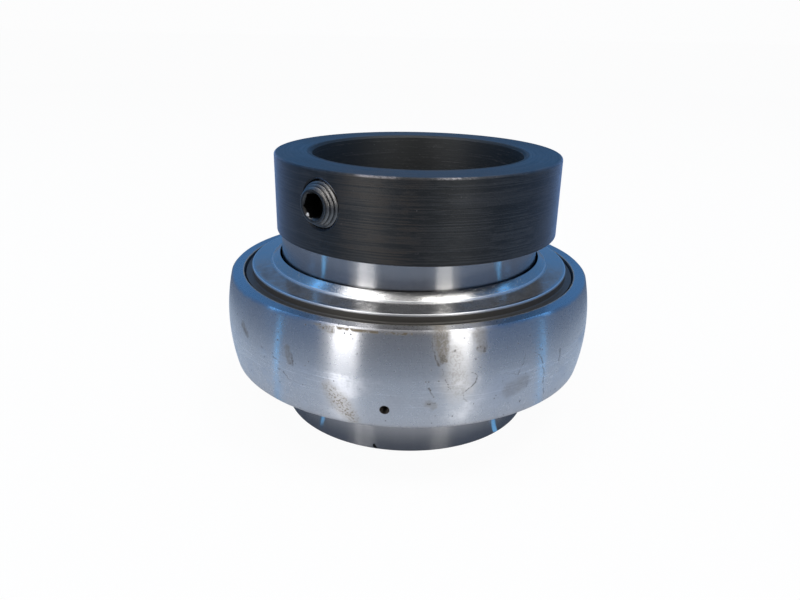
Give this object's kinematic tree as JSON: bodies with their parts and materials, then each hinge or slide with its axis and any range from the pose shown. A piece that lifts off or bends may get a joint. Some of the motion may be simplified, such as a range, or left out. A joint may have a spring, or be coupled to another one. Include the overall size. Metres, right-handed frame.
{
  "type": "insert bearing",
  "caption": "Ball bearing insert with a spherical outer ring, stepped shields, a wide inner ring and an eccentric locking collar with a set screw.",
  "frame": {"origin": "centre of the inner ring's lower end face, on the bore's axis", "axes": "+Z along the bore's axis, towards the locking collar; the grease hole and the set screw show from -Y"},
  "size_m": [0.09, 0.09, 0.0636],
  "materials": {
    "ground_steel": "ground bearing steel, worn and stained",
    "ball_steel": "polished bearing steel",
    "pressed_steel": "pressed sheet steel, smudged",
    "cage_steel": "pressed sheet steel",
    "black_oxide": "turned steel with black oxide",
    "screw_steel": "dark hardened steel, worn at the thread's crests",
    "seal_rubber": "black nitrile rubber"
  },
  "bodies": {
    "inner_ring": {"inner_ring": "ground_steel"},
    "outer_ring": {"outer_ring": "ground_steel", "upper_shield": "pressed_steel", "upper_seal_lip": "seal_rubber", "upper_seal_washer": "cage_steel", "lower_shield": "pressed_steel", "lower_seal_lip": "seal_rubber", "lower_seal_washer": "cage_steel"},
    "cage": {"upper_cage_half": "cage_steel", "lower_cage_half": "cage_steel", "cage_rivet_01": "cage_steel", "cage_rivet_02": "cage_steel", "cage_rivet_03": "cage_steel", "cage_rivet_04": "cage_steel", "cage_rivet_05": "cage_steel", "cage_rivet_06": "cage_steel", "cage_rivet_07": "cage_steel", "cage_rivet_08": "cage_steel", "cage_rivet_09": "cage_steel", "cage_rivet_10": "cage_steel"},
    "ball_01": {"ball_01": "ball_steel"},
    "ball_02": {"ball_02": "ball_steel"},
    "ball_03": {"ball_03": "ball_steel"},
    "ball_04": {"ball_04": "ball_steel"},
    "ball_05": {"ball_05": "ball_steel"},
    "ball_06": {"ball_06": "ball_steel"},
    "ball_07": {"ball_07": "ball_steel"},
    "ball_08": {"ball_08": "ball_steel"},
    "ball_09": {"ball_09": "ball_steel"},
    "ball_10": {"ball_10": "ball_steel"},
    "collar": {"locking_collar": "black_oxide"},
    "set_screw": {"set_screw": "screw_steel"}
  },
  "joints": [
    {"name": "outer_ring_spin", "type": "hinge", "parent": "inner_ring", "child": "outer_ring", "pos_m": [0, 0, 0.0246], "axis": [0, 0, 1], "continuous": true},
    {"name": "cage_spin", "type": "hinge", "parent": "inner_ring", "child": "cage", "pos_m": [0, 0, 0.0246], "axis": [0, 0, 1], "continuous": true},
    {"name": "ball_01_spin", "type": "hinge", "parent": "cage", "child": "ball_01", "pos_m": [0.035, 0, 0.0246], "axis": [0, 0, 1], "continuous": true},
    {"name": "ball_02_spin", "type": "hinge", "parent": "cage", "child": "ball_02", "pos_m": [0.02832, 0.02057, 0.0246], "axis": [0, 0, 1], "continuous": true},
    {"name": "ball_03_spin", "type": "hinge", "parent": "cage", "child": "ball_03", "pos_m": [0.01082, 0.03329, 0.0246], "axis": [0, 0, 1], "continuous": true},
    {"name": "ball_04_spin", "type": "hinge", "parent": "cage", "child": "ball_04", "pos_m": [-0.01082, 0.03329, 0.0246], "axis": [0, 0, 1], "continuous": true},
    {"name": "ball_05_spin", "type": "hinge", "parent": "cage", "child": "ball_05", "pos_m": [-0.02832, 0.02057, 0.0246], "axis": [0, 0, 1], "continuous": true},
    {"name": "ball_06_spin", "type": "hinge", "parent": "cage", "child": "ball_06", "pos_m": [-0.035, 0, 0.0246], "axis": [0, 0, 1], "continuous": true},
    {"name": "ball_07_spin", "type": "hinge", "parent": "cage", "child": "ball_07", "pos_m": [-0.02832, -0.02057, 0.0246], "axis": [0, 0, 1], "continuous": true},
    {"name": "ball_08_spin", "type": "hinge", "parent": "cage", "child": "ball_08", "pos_m": [-0.01082, -0.03329, 0.0246], "axis": [0, 0, 1], "continuous": true},
    {"name": "ball_09_spin", "type": "hinge", "parent": "cage", "child": "ball_09", "pos_m": [0.01082, -0.03329, 0.0246], "axis": [0, 0, 1], "continuous": true},
    {"name": "ball_10_spin", "type": "hinge", "parent": "cage", "child": "ball_10", "pos_m": [0.02832, -0.02057, 0.0246], "axis": [0, 0, 1], "continuous": true},
    {"name": "collar_turn", "type": "hinge", "parent": "inner_ring", "child": "collar", "pos_m": [0.00081, 0.00081, 0.0546], "axis": [0, 0, 1], "continuous": true},
    {"name": "set_screw_travel", "type": "slide", "parent": "collar", "child": "set_screw", "axis": [-0.6004, -0.7997, 0], "range_m": [-0.0018, 0.005]}
  ],
  "couplings": [
    {"joint": "cage_spin", "follows": "outer_ring_spin", "ratio": 0.59071},
    {"joint": "ball_01_spin", "follows": "outer_ring_spin", "ratio": 2.6652},
    {"joint": "ball_02_spin", "follows": "outer_ring_spin", "ratio": 2.6652},
    {"joint": "ball_03_spin", "follows": "outer_ring_spin", "ratio": 2.6652},
    {"joint": "ball_04_spin", "follows": "outer_ring_spin", "ratio": 2.6652},
    {"joint": "ball_05_spin", "follows": "outer_ring_spin", "ratio": 2.6652},
    {"joint": "ball_06_spin", "follows": "outer_ring_spin", "ratio": 2.6652},
    {"joint": "ball_07_spin", "follows": "outer_ring_spin", "ratio": 2.6652},
    {"joint": "ball_08_spin", "follows": "outer_ring_spin", "ratio": 2.6652},
    {"joint": "ball_09_spin", "follows": "outer_ring_spin", "ratio": 2.6652},
    {"joint": "ball_10_spin", "follows": "outer_ring_spin", "ratio": 2.6652}
  ]
}
